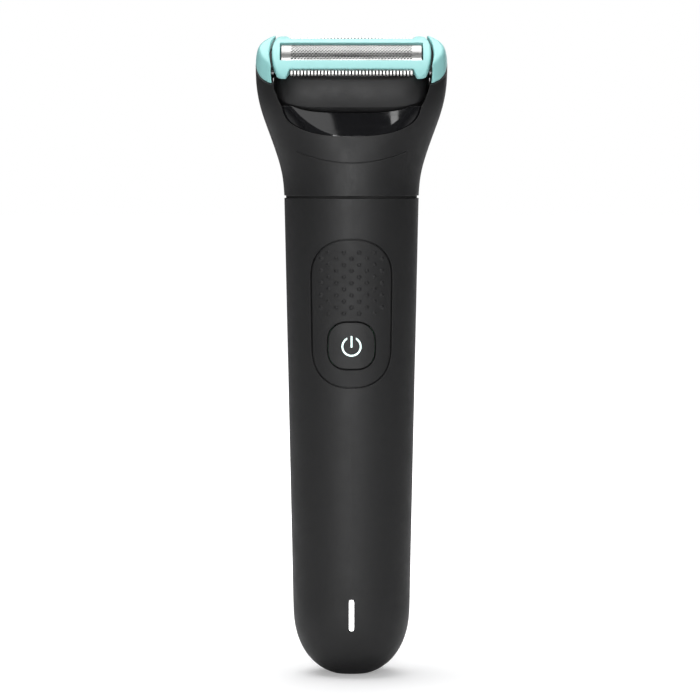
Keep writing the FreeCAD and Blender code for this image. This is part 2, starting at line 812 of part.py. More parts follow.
# height, half-width, half-depth, centre towards the back, squareness
NECK_STATIONS = (
    (NECK_LOW, 17.92, 15.75, 0.0, 0.59),
    (130.5, 18.1, 15.6, 0.0, 0.59),
    (133.5, 18.5, 15.4, 0.0, 0.60),
    (138.5, 19.8, 14.9, -0.1, 0.62),
    (144.9, 22.05, 14.0, -0.4, 0.66),
    (151.3, 24.2, 12.7, -0.8, 0.72),
    (157.7, 25.3, 11.6, -1.0, 0.74),
    (161.5, 25.45, 11.3, -1.0, 0.74),
    (164.8, 25.3, 11.3, -1.0, 0.74),
    (167.5, 24.5, 11.3, -1.0, 0.74),
    (169.4, 22.7, 11.3, -1.0, 0.74),
    (171.6, 18.6, 11.3, -1.0, 0.74),
)

# right half of the curved upper edge of the neck front: across, height
SADDLE_HALF = ((13.5, 145.4), (17.2, 148.0), (18.5, 151.4), (19.5, 156.0), (20.0, 160.0))


def neck_solid(inset):
    """Neck and arm outline, moved inwards by an inset."""
    rows = []
    for height, half_width, half_depth, centre_y, squareness in NECK_STATIONS:
        rows.append((height, half_width - inset, half_depth - inset, centre_y, squareness))
    return skin_solid(rows)


def saddle_prism(rise_angle, edge_depth):
    """Space above the curved front edge of the neck, carried back and up at an angle."""
    points = [(-across, height) for across, height in reversed(SADDLE_HALF)]
    points += [(0, size("saddle_front")), *SADDLE_HALF]
    slope = math.tan(math.radians(rise_angle))
    front, reach, top = -20.0, 44.0, 200.0
    drop = (edge_depth - front) * slope
    curve = Part.BSplineCurve()
    curve.interpolate(Points=[Vector(across, front, height - drop) for across, height in points])
    right, low = points[-1][0], points[-1][1] - drop
    walls = Part.makePolygon([Vector(right, front, low), Vector(right, front, top), Vector(-right, front, top),
                              Vector(-right, front, low)])
    face = Part.Face(Part.Wire([curve.toShape(), *walls.Edges]))
    return face.extrude(Vector(0, reach, reach * slope))


def barrel(radius, power, span, half_length, grow=0.0):
    """Barrel about the X axis whose radius falls off towards its ends, grown by a clearance."""
    points = []
    for step in range(-8, 9):
        across = half_length * math.sin(step * math.pi / 16)
        share = (1 - (abs(across) / span) ** power) ** (1 / power)
        points.append(Vector(across, radius * share + grow, 0))
    curve = Part.BSplineCurve()
    curve.interpolate(Points=points)
    ends = [points[-1], Vector(half_length, 0, 0), Vector(-half_length, 0, 0), points[0]]
    wire = Part.Wire([curve.toShape(), *Part.makePolygon(ends).Edges])
    return Part.Face(wire).revolve(Vector(), X_AXIS, 360)


def drum_solid(grow, shorten=0.0):
    """Drum about the pivot axis with its fuller belly, in the head's own frame."""
    upper = barrel(size("drum_radius"), size("drum_power"), size("drum_span"),
                   size("drum_half_length") - shorten, grow)
    shape = size("belly_power"), size("belly_span"), size("belly_half_length") - shorten, grow
    belly = barrel(size("belly_radius"), *shape)
    upright = Rotation(X_AXIS, -size("face_tilt"))
    belly.translate(upright.multVec(Vector(0, size("belly_back"), -size("belly_drop"))))
    return upper.fuse(belly.common(barrel(size("belly_reach"), *shape)))


def drum_seat():
    """Space that the drum sweeps as it swings, with a gap around it, in place."""
    gap = size("seat_gap")
    upper = barrel(size("drum_radius"), size("drum_power"), size("drum_span"), size("drum_half_length"), gap)
    longer = 0.4
    lower = barrel(size("belly_reach"), size("belly_power"), size("belly_span") + longer,
                   size("belly_half_length") + longer, gap)
    return in_head(upper).fuse(in_head(lower).common(box_between((-30, -30, 130), (30, 30, size("belly_top")))))


def in_head(shape):
    """Shape drawn in the head's own frame, brought to its place at rest."""
    return shape.transformed(HEAD_PLACE.toMatrix())


def arm_space():
    """Room of the swinging head: a ball between the arms and the seat of its drum."""
    ball = Part.makeSphere(size("head_radius") + size("arm_gap"), PIVOT)
    ball = ball.common(box_between((-30, -40, size("ball_low")), (30, 40, 200)))
    return ball.fuse(drum_seat())


def split_tools():
    """Space above the line where each arm ends and its cap begins, one for each side."""
    tools = {}
    for label, sign in (("right", 1), ("left", -1)):
        slab = Part.makeBox(46, 60, 40, Vector(-6 if sign > 0 else -40, -30, 0))
        slab.rotate(Vector(), Y_AXIS, sign * size("split_fall"))
        slab.translate(Vector(sign * size("split_across"), 0, size("split_height")))
        tools[label] = in_head(slab)
    return tools


def arm_top():
    """Limits of the arms: round about the pivot and arched along the shaving face."""
    disc = Part.makeCylinder(size("arm_round"), 60, Vector(-30, PIVOT.y, PIVOT.z), X_AXIS)
    radius = size("roof_radius")
    roof = Part.makeCylinder(radius, 60, Vector(-30, 0, size("roof_crown") - radius), X_AXIS)
    low_part = box_between((-30, -30, 120), (30, 30, PIVOT.z))
    foot = box_between((-30, -30, 120), (30, 30, size("belly_top")))
    return disc.fuse(low_part).common(in_head(roof).fuse(foot))


def make_neck():
    """Neck housing with its two arms, and the aqua caps on the arms."""
    blank = neck_solid(0.0)
    blank = blank.common(arm_top())
    opened = blank.cut(saddle_prism(size("saddle_rise"), size("saddle_edge_depth"))).cut(arm_space())
    pin = size("pin_diameter") / 2
    pin_bore = Part.makeCylinder(pin, 2 * size("pin_outer"), PIVOT - X_AXIS * size("pin_outer"), X_AXIS)
    opened = opened.cut(pin_bore)
    tools = split_tools()
    above = tools["left"].fuse(tools["right"]).common(box_between((-40, -40, 150), (40, 40, 200)))
    housing = opened.cut(above)
    housing = housing.cut(neck_cavity()).cut(neck_crease())
    sub_part("neck_housing", feature("neck_body", housing))
    for label, sign in (("left", -1), ("right", 1)):
        side = box_between((min(0, sign * 40), -40, 150), (max(0, sign * 40), 40, 200))
        sub_part(f"{label}_arm_cap", feature(f"{label}_cap_body", opened.common(above).common(side)))


def neck_crease():
    """Fine curved groove across the front of the neck, a smile below the cradle."""
    half_span, end_height, middle_height, width, depth = 14.5, 139.6, 136.4, 0.3, 0.25
    edges = []
    for lift in (0.0, width):
        start = Vector(-half_span, -20, end_height + lift / 2)
        end = Vector(half_span, -20, end_height + lift / 2)
        edges.append(Part.Arc(start, Vector(0, -20, middle_height + lift), end).toShape())
    low, high = edges
    sides = [Part.makeLine(low.Vertexes[side].Point, high.Vertexes[side].Point) for side in (0, -1)]
    ribbon = Part.Face(Part.Wire([low, sides[1], high, sides[0]])).extrude(Vector(0, 15, 0))
    return ribbon.cut(neck_solid(depth))


def neck_cavity():
    """Hollow of the neck, open upwards under the cradle, with its floor bores."""
    floor = NECK_LOW + size("neck_floor")
    room = neck_solid(size("neck_wall")).common(box_between((-30, -30, floor), (30, 30, size("cavity_top"))))
    well = box_between((-12, -8.5, size("cavity_top") - 1), (12, 8.5, 155))
    shaft = Part.makeCylinder(4.0, 10, Vector(0, size("motor_centre"), NECK_LOW - 1))
    bores = []
    for across in (-9, 9):
        bores.append(Part.makeCylinder(1.16, 10, Vector(across, size("motor_centre"), NECK_LOW - 1)))
    return room.multiFuse([well, shaft, *bores])


def make_cradle():
    """Glossy bowl between the neck and the drum, with the boot around the drive post."""
    blank = neck_solid(size("cradle_inset")).common(box_between((-30, -30, 140), (30, 30, size("cradle_back"))))
    bowl = blank.common(saddle_prism(size("saddle_rise"), size("saddle_edge_depth")))
    bowl = bowl.cut(saddle_prism(size("ramp_rise"), size("ramp_edge_depth"))).cut(drum_seat())
    hole = Part.makeCylinder(size("boot_radius"), 20, Vector(0, PIVOT.y, 138))
    sub_part("neck_cradle", feature("cradle_body", bowl.cut(hole)))
    boot = Part.makeCylinder(size("boot_radius"), size("boot_high") - size("boot_low"),
                             Vector(0, PIVOT.y, size("boot_low")))
    travel, post = size("drive_travel"), size("post_radius")
    slot = oblong(2 * (travel + post + 0.15), 2 * (post + 0.12), size("boot_low"), size("boot_high"))
    slot.translate(Vector(0, PIVOT.y, 0))
    sub_part("drive_boot", feature("boot_body", boot.cut(slot)))


def make_neck_fasteners():
    """Screws from the neck floor into the chassis posts, shaft seal and pivot pins."""
    floor = "handle_top + seam_gap + neck_floor"
    screws = []
    for number, centre in enumerate(("-9", "9")):
        shank = rod(f"neck_shank_{number}", "1.08", (centre, "motor_centre", f"{floor} - 6.6"), "6.7")
        head = rod(f"neck_head_{number}", "2.0", (centre, "motor_centre", floor), "1.2")
        slot = block(f"neck_slot_{number}", (f"{centre} - 1.4", "motor_centre - 0.2", f"{floor} + 0.7"),
                     (f"{centre} + 1.4", "motor_centre + 0.2", f"{floor} + 1.3"))
        screws.append(cut(f"neck_screw_{number}", fuse(f"neck_screw_blank_{number}", shank, head), slot))
    sub_part("neck_screws", group("neck_screw_group", *screws))

    ring = rod("seal_ring", "4.0", ("0", "motor_centre", f"{floor} - neck_floor"), "neck_floor - 0.1")
    bore = rod("seal_bore_rod", "shaft_radius + 0.1", ("0", "motor_centre", f"{floor} - neck_floor"), "3")
    sub_part("shaft_seal", cut("shaft_seal_body", ring, bore))

    length = "pin_outer - pin_inner"
    pins = [
        rod(f"pivot_pin_{number}", "pin_diameter / 2", (start, "pivot_depth", "pivot_height"), length, X_AXIS)
        for number, start in enumerate(("-pin_outer", "pin_inner"))
    ]
    sub_part("pivot_pins", group("pivot_pin_group", *pins))


def make_drive():
    """Bridge that slides on two rods and carries the ball post up to the pivot axis."""
    low, high = "motor_centre - rod_offset - 1.7", "motor_centre + rod_offset + 1.7"
    half = "bridge_half_length"
    plate = block("bridge_plate", (f"-{half}", low, "bridge_low"), (half, high, "bridge_high"))
    slot_half = "(pin_radius + eccentricity + drive_travel + 0.12)"
    slot = block(
        "bridge_slot",
        (f"-{slot_half}", f"motor_centre - {slot_half}", "bridge_low"),
        (slot_half, f"motor_centre + {slot_half}", "bridge_high - 0.8"),
    )
    bores = []
    for number, sign in enumerate("-+"):
        start = (f"-{half}", f"motor_centre {sign} rod_offset", "rod_height")
        bores.append(rod(f"bridge_bore_{number}", "rod_radius + 0.06", start, f"2 * {half}", X_AXIS))
    stem = rod("post_stem", "post_radius", ("0", "pivot_depth", "bridge_high"), "stem_top - bridge_high")
    neck = rod("post_neck", "neck_radius", ("0", "pivot_depth", "stem_top"), "pivot_height - stem_top")
    ball = doc.addObject("Part::Sphere", "post_ball")
    ball.setExpression("Radius", formula("ball_radius"))
    ball.setExpression("Placement.Base.y", formula("pivot_depth"))
    ball.setExpression("Placement.Base.z", formula("pivot_height"))
    sub_part("drive_bridge", fuse("bridge_body", cut("bridge_machined", plate, slot, *bores), stem, neck, ball))

    rods = []
    for number, sign in enumerate("-+"):
        start = ("-rod_half_length", f"motor_centre {sign} rod_offset", "rod_height")
        rods.append(rod(f"guide_rod_{number}", "rod_radius", start, "2 * rod_half_length", X_AXIS))
    sub_part("guide_rods", group("guide_rod_group", *rods))
    floor = "handle_top + seam_gap + neck_floor"
    blocks = []
    for side, (start, end) in enumerate((("-rod_half_length", "-rod_half_length + 1.4"),
                                         ("rod_half_length - 1.4", "rod_half_length"))):
        tower = block(f"guide_tower_{side}", (start, "motor_centre - rod_offset - 1.6", floor),
                      (end, "motor_centre + rod_offset + 1.6", "rod_height + 1.6"))
        holes = []
        for number, sign in enumerate("-+"):
            place = (start, f"motor_centre {sign} rod_offset", "rod_height")
            holes.append(rod(f"guide_hole_{side}_{number}", "rod_radius", place, "1.4", X_AXIS))
        blocks.append(cut(f"guide_block_{side}", tower, *holes))
    sub_part("bridge_guide", group("guide_group", *blocks))


# ---------------------------------------------------------------- head, drawn along the shaving face
# X runs along the foil, Y across the face towards the back and Z out of the face.

def head_part(label, solid):
    """List a piece that was drawn in the head's own frame and put it in place."""
    solid.Placement = HEAD_PLACE
    return sub_part(label, solid)


def coil(radius, wire, pitch, length):
    """Round-wire spring along Z from the origin."""
    helix = Part.makeHelix(pitch, length, radius)
    start = Part.Wire(Part.makeCircle(wire / 2, Vector(radius, 0, 0), Y_AXIS))
    return Part.Wire(helix.Edges).makePipeShell([start], True, True)


def make_drum():
    """Hollow swinging drum with a slot for the drive post, and its two return springs."""
    half = size("drum_half_length")
    drum = drum_solid(0.0).cut(box_between((-30, -30, size("drum_top")), (30, 30, 30)))
    drum = drum.cut(drum_solid(-size("drum_wall"), 1.5 * size("drum_wall")))
    mouth_half, mouth_reach = size("carriage_half_length") + 0.9, size("carriage_half_width") + 0.2
    drum = drum.cut(box_between((-mouth_half, -mouth_reach, size("carriage_low") - 0.2),
                                (mouth_half, mouth_reach, 30)))
    bore = Part.makeCylinder(size("pin_diameter") / 2 + 0.05, 2 * half, Vector(-half, 0, 0), X_AXIS)
    slot_half = size("neck_radius") + size("drive_travel") + 0.35
    tilt = size("face_tilt")
    edges = [Vector(-slot_half, 0, 0)]
    for angle in (tilt - 19, tilt, tilt + 19):
        turn = math.radians(angle)
        edges.append(Vector(-slot_half, -16 * math.sin(turn), -16 * math.cos(turn)))
    wedge = Part.Face(Part.makePolygon(edges + edges[:1])).extrude(Vector(2 * slot_half, 0, 0))
    head_part("head_drum", feature("drum_body", drum.cut(bore).cut(wedge)))

    left = coil(2.0, 0.36, 0.48, 1.2)
    left.rotate(Vector(), Y_AXIS, -90)
    left.translate(Vector(-half - 0.3, 0, 0))
    right = left.mirror(Vector(), X_AXIS)
    head_part("tilt_springs", feature("tilt_spring_pair", Part.makeCompound([left, right])))


def face_arc(tip, edge_height, crown):
    """Edge over the face from back to front, a shallow arc across the unit."""
    return Part.Arc(Vector(0, -tip, edge_height), Vector(0, 0, crown), Vector(0, tip, edge_height)).toShape()


def comb_recess(sign):
    """Opening in the frame for one comb, wider towards the tips of its teeth."""
    root, tip = size("recess_root"), size("frame_reach")
    half = size("comb_half_length") + 0.2
    wide = half + size("recess_lean")
    outline = [(-half, root), (-wide, tip), (-wide, tip + 3), (wide, tip + 3), (wide, tip), (half, root)]
    points = [Vector(across, sign * along, 0) for across, along in outline]
    return Part.Face(Part.makePolygon(points + points[:1])).extrude(Vector(0, 0, 12))


def make_shaving_frame():
    """Aqua frame around the foil: crowned top, rounded ends and recesses for the combs."""
    low, edge, reach = size("frame_low"), size("frame_edge"), size("frame_reach")
    top = face_arc(reach, edge, size("frame_crown"))
    ends = [Vector(0, reach, edge), Vector(0, reach, low), Vector(0, -reach, low), Vector(0, -reach, edge)]
    outline = Part.Wire([top, *Part.makePolygon(ends).Edges])
    bar = Part.Face(outline).extrude(Vector(50, 0, 0))
    bar.translate(Vector(-25, 0, 0))
    end_radius = size("frame_end_radius")
    for sign in (-1, 1):
        centre = Vector(-sign * (end_radius - size("frame_end_reach")), 0, 0)
        bar = bar.common(Part.makeCylinder(end_radius, 20, centre))
    bar = round_frame(bar)
    for sign in (-1, 1):
        bar = bar.cut(comb_recess(sign))
    ceiling = size("comb_high") + 0.01
    inner, root = size("frame_inner_half"), size("recess_root")
    bar = bar.cut(box_between((-inner, -root, 0), (inner, root, ceiling)))
    half, long_half = size("window_half_width"), size("window_half_length") + 0.1
    rim = 1.1
    bar = bar.cut(box_between((-long_half, -half - rim, 0), (long_half, half + rim, ceiling)))
    bar = bar.cut(box_between((-long_half, -half, 0), (long_half, half, 12)))
    foil_room = half_tube(size("foil_radius") + 0.12, 0, long_half, size("foil_centre"))
    head_part("shaving_frame", feature("frame_body", bar.cut(foil_room)))


def round_frame(bar):
    """Round the four upright corners of the frame blank, then its upper edges."""
    low, edge = size("frame_low"), size("frame_edge")
    corners = [item for item in bar.Edges if item.BoundBox.ZMin < low + 0.1 and item.BoundBox.ZMax > edge - 0.1]
    corners = [item for item in corners if item.BoundBox.XLength < 0.1 and item.BoundBox.YLength < 0.1]
    bar = bar.makeFillet(size("frame_corner"), corners)
    tops = [item for item in bar.Edges if item.BoundBox.ZMin > low + 0.5]
    return bar.makeFillet(size("frame_round"), tops)


def comb_solid(half_length, root, tip, low, high, slot, tooth_depth):
    """Toothed strip: a plate with even slots cut into one long edge."""
    strip = box_between((-half_length, root, low), (half_length, tip, high))
    pitch = size("tooth_pitch")
    count = int(2 * half_length / pitch)
    first = -(count - 1) * pitch / 2
    slots = [
        box_between((first + k * pitch - slot / 2, tip - tooth_depth, low - 1),
                    (first + k * pitch + slot / 2, tip + 1, high + 1))
        for k in range(count)
    ]
    return strip.cut(Part.makeCompound(slots))


def make_combs():
    """Fixed steel combs, the moving blades under them and the carriage that joins the blades."""
    comb = comb_solid(size("comb_half_length"), size("comb_root"), size("comb_tip"), size("comb_low"),
                      size("comb_high"), size("tooth_slot"), size("comb_tooth"))
    blade = comb_solid(size("blade_half_length"), size("blade_root"), size("blade_tip"), size("blade_low"),
                       size("blade_high"), size("blade_slot"), size("blade_tooth"))
    for label, solid in (("comb", comb), ("trimmer_blade", blade)):
        head_part(f"rear_{label}", feature(f"rear_{label}_body", solid))
        head_part(f"front_{label}", feature(f"front_{label}_body", solid.mirror(Vector(), Y_AXIS)))
    half, reach, root = "carriage_half_length", "carriage_half_width", "blade_root"
    outer = block("carriage_block", (f"-{half}", f"-{reach}", "carriage_low"), (half, reach, "blade_low"))
    inner = block("carriage_room", (f"-{half} + 0.7", f"-{root}", "carriage_low - 0.1"),
                  (f"{half} - 0.7", root, "blade_low + 0.1"))
    notch = block("carriage_notch", (f"-{half} - 1", f"-{root}", "carriage_low + 1"),
                  (f"{half} + 1", root, "blade_low + 0.1"))
    head_part("trimmer_carriage", cut("carriage_body", outer, inner, notch))


def half_tube(outer, inner, half_length, low):
    """Upper half of a tube along X about the foil centre."""
    centre = Vector(-half_length, 0, size("foil_centre"))
    tube = Part.makeCylinder(outer, 2 * half_length, centre, X_AXIS)
    if inner:
        tube = tube.cut(Part.makeCylinder(inner, 2 * half_length, centre, X_AXIS))
    return tube.common(box_between((-30, -10, low), (30, 10, 20)))


def make_foil_unit():
    """Thin arched foil and the end pieces that hold it."""
    radius, thickness, half = size("foil_radius"), size("foil_thickness"), size("foil_half_length")
    foil = half_tube(radius, radius - thickness, half, size("foil_low"))
    head_part("shaving_foil", feature("foil_body", foil))
    disc = half_tube(radius - thickness, 0, half, size("foil_low"))
    inner_end = half - size("holder_length")
    ends = [disc.common(box_between((min(sign * inner_end, sign * half), -10, 0),
                                    (max(sign * inner_end, sign * half), 10, 20))) for sign in (-1, 1)]
    head_part("foil_holders", feature("foil_holder_pair", Part.makeCompound(ends)))


def make_cutter():
    """Lamella block under the foil, the carrier with its drive fork, and two springs."""
    half, radius = size("cutter_half_length"), size("cutter_radius")
    inner = radius - 1.1
    arch = half_tube(radius, inner, half, size("foil_centre"))
    pitch, blade = size("tooth_pitch"), size("lamella")
    count = int(2 * half / pitch)
    first = -(count - 1) * pitch / 2
    lamellas = [
        arch.common(box_between((first + k * pitch - blade / 2, -10, 0), (first + k * pitch + blade / 2, 10, 20)))
        for k in range(count)
    ]
    spine_low = size("foil_centre") - 0.8
    spine = box_between((-half, -radius, spine_low), (half, radius, size("foil_centre")))
    spine = spine.cut(box_between((-half + 1, -inner + 0.6, 0), (half - 1, inner - 0.6, 20)))
    head_part("cutter_blades", feature("cutter_blade_body", spine.multiFuse(lamellas)))

    beam_low = "foil_centre - 2.4"
    beam = block("carrier_beam", ("-cutter_half_length", "-3.3", beam_low),
                 ("cutter_half_length", "3.3", "foil_centre - 0.8"))
    fork = block("carrier_fork", ("-2.5", "-1.9", "-1.6"), ("2.5", "1.9", beam_low))
    gap = block("fork_gap", ("-ball_radius - 0.05", "-4", "-3"), ("ball_radius + 0.05", "4", "ball_radius + 0.8"))
    cups = [rod(f"spring_cup_{number}", "1.5", (across, "0", "foil_centre - 2.0"), "3")
            for number, across in enumerate(("-9", "9"))]
    head_part("cutter_carrier", cut("carrier_body", fuse("carrier_blank", beam, fork), gap, *cups))
    left = coil(1.15, 0.3, 0.48, 1.2)
    left.translate(Vector(-9, 0, size("foil_centre") - 1.8))
    right = left.mirror(Vector(), X_AXIS)
    head_part("cutter_springs", feature("cutter_spring_pair", Part.makeCompound([left, right])))


make_neck()
make_cradle()
make_neck_fasteners()
make_drive()
make_drum()
make_shaving_frame()
make_combs()
make_foil_unit()
make_cutter()

# ---------------------------------------------------------------- checks and export

doc.recompute()
for item in doc.Objects:
    if {"Invalid", "Error"} & set(item.State):
        raise RuntimeError(f"{item.Label} did not build: {item.State}")
for item in sub_parts:
    if item.Shape.isNull() or not item.Shape.isValid():
        raise RuntimeError(f"{item.Label} has no valid shape")
    print(f"{item.Label}: {len(item.Shape.Solids)} solid(s), {item.Shape.Volume:.1f} mm3")

os.makedirs("parts", exist_ok=True)
for item in sub_parts:
    item.Shape.exportStep(os.path.join("parts", f"{item.Label}.step"))
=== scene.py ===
import json
import math

import bmesh
import bpy
from mathutils import Matrix, Vector


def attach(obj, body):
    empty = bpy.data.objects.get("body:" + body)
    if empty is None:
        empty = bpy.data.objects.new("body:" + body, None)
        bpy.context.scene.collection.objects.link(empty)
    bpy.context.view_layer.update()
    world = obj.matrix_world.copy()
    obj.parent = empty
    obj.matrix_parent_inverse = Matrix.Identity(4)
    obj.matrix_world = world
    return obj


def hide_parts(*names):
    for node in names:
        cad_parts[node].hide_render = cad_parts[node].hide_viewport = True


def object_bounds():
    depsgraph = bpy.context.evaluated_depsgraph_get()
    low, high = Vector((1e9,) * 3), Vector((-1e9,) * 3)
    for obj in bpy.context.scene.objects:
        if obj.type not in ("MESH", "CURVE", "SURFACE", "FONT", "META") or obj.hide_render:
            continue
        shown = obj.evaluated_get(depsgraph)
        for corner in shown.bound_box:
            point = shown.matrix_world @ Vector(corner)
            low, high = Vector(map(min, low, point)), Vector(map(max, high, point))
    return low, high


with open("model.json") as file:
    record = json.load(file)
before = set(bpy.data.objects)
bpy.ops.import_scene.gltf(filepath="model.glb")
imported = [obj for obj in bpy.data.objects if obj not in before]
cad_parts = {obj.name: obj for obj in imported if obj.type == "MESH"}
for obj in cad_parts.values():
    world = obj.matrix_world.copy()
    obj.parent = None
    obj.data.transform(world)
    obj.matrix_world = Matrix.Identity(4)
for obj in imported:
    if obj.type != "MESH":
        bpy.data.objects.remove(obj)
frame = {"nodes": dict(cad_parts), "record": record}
cad_low, cad_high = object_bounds()

NODES = frame["nodes"]
BEHAVIOUR = frame["record"]["behaviour"]
SLOT_OF = {entry["node"]: entry["material_slot"] for entry in frame["record"]["subparts"]}
NODE_BODY = {node: body for body, members in BEHAVIOUR["bodies"].items() for node in members}
MM = 0.001
HEIGHT = cad_high.z - cad_low.z


# ---------------------------------------------------------------- material building

# Noise values lie almost wholly between these two.
NOISE_LOW, NOISE_HIGH = 0.3, 0.7
BEVEL_SAMPLES = 4
# Width of the paler edge, a painted edge sheen that also stands for wear, over the radius of the edge
# itself.
SHEEN_WEAR_WIDTH = 1.6
# Places of the two colours and of the mixed colour among the sockets of a colour Mix node.
MIX_FIRST, MIX_SECOND, MIX_RESULT = 6, 7, 2


class Shader:
    """One node material, with short helpers for the textures that it mixes."""

    def __init__(self, name, colour, roughness, metallic=0.0):
        self.material = bpy.data.materials.new(name)
        self.material.use_nodes = True
        self.tree = self.material.node_tree
        self.tree.nodes.clear()
        self.output = self.node("ShaderNodeOutputMaterial")
        self.surface = self.node("ShaderNodeBsdfPrincipled")
        self.link(self.surface.outputs["BSDF"], self.output.inputs["Surface"])
        self.set("Base Color", (*colour, 1.0))
        self.set("Roughness", roughness)
        self.set("Metallic", metallic)
        self.place = self.node("ShaderNodeTexCoord").outputs["Object"]
        self.normal = None

    def node(self, kind):
        return self.tree.nodes.new(kind)

    def link(self, start, end):
        self.tree.links.new(start, end)

    def set(self, socket, value):
        """Give a socket of the surface one value."""
        self.surface.inputs[socket].default_value = value

    def drive(self, socket, source):
        """Feed a socket of the surface from a texture."""
        self.link(source, self.surface.inputs[socket])

    def stretched(self, scale):
        """Texture coordinates with a different scale along each axis."""
        node = self.node("ShaderNodeMapping")
        node.inputs["Scale"].default_value = scale
        self.link(self.place, node.inputs["Vector"])
        return node.outputs["Vector"]

    def noise(self, scale, detail=3.0, roughness=0.55, vector=None, distortion=0.0):
        node = self.node("ShaderNodeTexNoise")
        node.inputs["Scale"].default_value = scale
        node.inputs["Detail"].default_value = detail
        node.inputs["Roughness"].default_value = roughness
        node.inputs["Distortion"].default_value = distortion
        self.link(vector or self.place, node.inputs["Vector"])
        return node.outputs["Fac"]

    def cells(self, scale, feature="F1"):
        node = self.node("ShaderNodeTexVoronoi")
        node.feature = feature
        node.inputs["Scale"].default_value = scale
        self.link(self.place, node.inputs["Vector"])
        return node.outputs["Distance"]

    def between(self, value, low, high, out_low=0.0, out_high=1.0):
        """Stretch a value from one range to another, held at the ends."""
        node = self.node("ShaderNodeMapRange")
        node.clamp = True
        limits = {"From Min": low, "From Max": high, "To Min": out_low, "To Max": out_high}
        for socket, number in limits.items():
            node.inputs[socket].default_value = number
        self.link(value, node.inputs["Value"])
        return node.outputs["Result"]

    def spread(self, noise, out_low=0.0, out_high=1.0):
        """Stretch the usual range of a noise to another range."""
        return self.between(noise, NOISE_LOW, NOISE_HIGH, out_low, out_high)

    def combine(self, operation, first, second):
        """Sum or product of two values, each a number or a socket."""
        node = self.node("ShaderNodeMath")
        node.operation = operation
        for socket, value in zip(node.inputs, (first, second)):
            if isinstance(value, (int, float)):
                socket.default_value = value
            else:
                self.link(value, socket)
        return node.outputs["Value"]

    def blend(self, factor, first, second):
        """Colour between two, each a triple or a socket."""
        node = self.node("ShaderNodeMix")
        node.data_type = "RGBA"
        self.link(factor, node.inputs["Factor"])
        for place, value in ((MIX_FIRST, first), (MIX_SECOND, second)):
            if isinstance(value, tuple):
                node.inputs[place].default_value = (*value, 1.0)
            else:
                self.link(value, node.inputs[place])
        return node.outputs[MIX_RESULT]

    def bump(self, height, distance):
        """Add a relief, in metres, on top of what is there."""
        node = self.node("ShaderNodeBump")
        node.inputs["Strength"].default_value = 1.0
        node.inputs["Distance"].default_value = distance
        self.link(height, node.inputs["Height"])
        if self.normal:
            self.link(self.normal, node.inputs["Normal"])
        self.normal = node.outputs["Normal"]
        self.drive("Normal", self.normal)

    def rounded(self, radius):
        """Normal of the shape as if every edge had this radius."""
        node = self.node("ShaderNodeBevel")
        node.samples = BEVEL_SAMPLES
        node.inputs["Radius"].default_value = radius
        return node.outputs["Normal"]

    def soften(self, radius):
        """Round every edge by a radius in the shading."""
        self.normal = self.rounded(radius)
        self.drive("Normal", self.normal)

    def sheen_wear_edge(self, radius):
        """Mask that rises towards the edges of the shape, for the painted edge sheen and wear."""
        turned, level = 0.75, 0.99
        dot = self.node("ShaderNodeVectorMath")
        dot.operation = "DOT_PRODUCT"
        self.link(self.rounded(radius), dot.inputs[0])
        self.link(self.node("ShaderNodeNewGeometry").outputs["Normal"], dot.inputs[1])
        return self.between(dot.outputs["Value"], turned, level, out_low=1.0, out_high=0.0)


def shade(colour, factor, lift=0.0):
    """Colour multiplied by a factor, with a little added to each part."""
    return tuple(part * factor + lift for part in colour)


def moulded_plastic(name, colour, roughness, grain=0.000012, grain_scale=2600, edge=0.00025):
    """Moulded plastic: fine spark grain, faint handling marks and slightly lighter edges, a painted edge
    sheen that also stands for wear.
    """
    shader = Shader(name, colour, roughness)
    shader.soften(edge)
    patches = shader.noise(scale=55, detail=4, roughness=0.6)
    handled = shader.between(patches, low=0.35, high=0.65, out_low=0.35, out_high=1.0)
    # Painted edge sheen, partly wear: edges mixed towards a lighter colour, broken up by the handling
    # patches.
    sheen_and_wear = shader.combine("MULTIPLY", shader.sheen_wear_edge(edge * SHEEN_WEAR_WIDTH), handled)
    lighter = tuple(min(1.0, part) for part in shade(colour, factor=1.12, lift=0.0072))
    tone = shader.blend(shader.spread(patches), shade(colour, factor=0.93), colour)
    shader.drive("Base Color", shader.blend(sheen_and_wear, tone, lighter))
    fine = shader.noise(grain_scale, detail=2)
    marks = shader.noise(scale=180, detail=5, roughness=0.65)
    marked = shader.combine("ADD", shader.spread(marks, out_low=-0.05, out_high=0.05), roughness)
    grained = shader.spread(fine, out_low=-0.03, out_high=0.03)
    shader.drive("Roughness", shader.combine("ADD", marked, grained))
    shader.bump(fine, grain)
    return shader


def gloss_plastic(name, colour):
    """Polished black plastic with hairline scratches and a little dust."""
    shader = Shader(name, colour, roughness=0.08)
    shader.soften(radius=0.0002)
    hair = shader.noise(scale=900, detail=2, vector=shader.stretched((0.06, 1, 1)))
    dust = shader.between(shader.cells(scale=1500), low=0.0, high=0.06, out_low=1.0, out_high=0.0)
    scratched = shader.between(hair, low=0.55, high=0.8, out_low=0.05, out_high=0.16)
    dusted = shader.combine("MULTIPLY", dust, 0.15)
    shader.drive("Roughness", shader.combine("ADD", scratched, dusted))
    shader.drive("Base Color", shader.blend(dust, colour, shade(colour, factor=1, lift=0.02)))
    shader.bump(hair, distance=0.0000015)
    shader.set("Coat Weight", 0.6)
    shader.set("Coat Roughness", 0.04)
    return shader


def rubber(name, colour):
    """Soft rubber: dull, finely pebbled."""
    shader = Shader(name, colour, roughness=0.78)
    shader.soften(radius=0.00015)
    cloud = shader.noise(scale=120, detail=4)
    shader.drive("Roughness", shader.spread(cloud, out_low=0.68, out_high=0.86))
    dusty = shade(colour, factor=1.5, lift=0.006)
    shader.drive("Base Color", shader.blend(shader.between(cloud, low=0.5, high=0.8), colour, dusty))
    shader.bump(shader.cells(scale=3200), distance=0.00001)
    return shader


